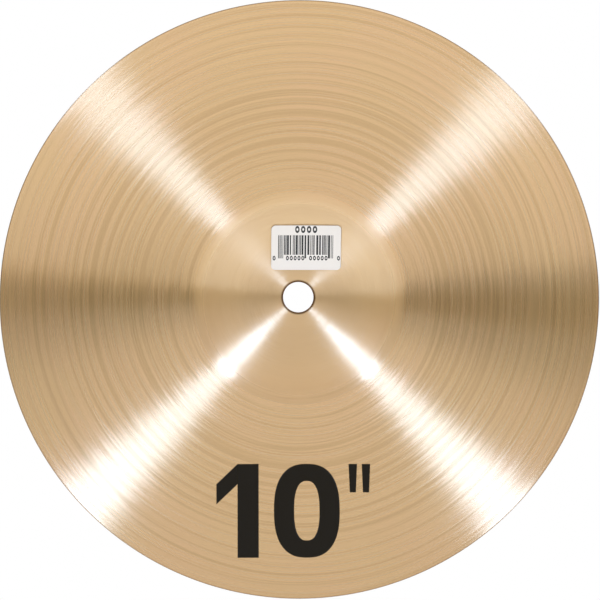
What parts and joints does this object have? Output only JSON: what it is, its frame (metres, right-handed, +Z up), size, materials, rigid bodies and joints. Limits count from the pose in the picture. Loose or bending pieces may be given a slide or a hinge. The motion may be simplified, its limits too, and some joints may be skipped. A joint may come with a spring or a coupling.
{
  "type": "splash cymbal",
  "caption": "Small thin round cymbal with a domed cup, a central hole and a shallow bow, lathed all over, and a paper label stuck inside the cup.",
  "frame": {"origin": "on the cymbal's axis, in the plane that the rim stands on", "axes": "+Z up the axis, from the rim towards the cup, so the cymbal stands bell up on its rim; the label inside the cup lies towards -Y, and the end of it that reads last lies towards +X"},
  "size_m": [0.254, 0.254, 0.0251],
  "materials": {
    "lathed_bronze": "bare bronze, lathed in fine circles and left bright",
    "label_paper": "matt white self-adhesive label paper"
  },
  "bodies": {
    "root": {"cymbal_disc": "lathed_bronze", "barcode_label": "label_paper"}
  },
  "joints": []
}
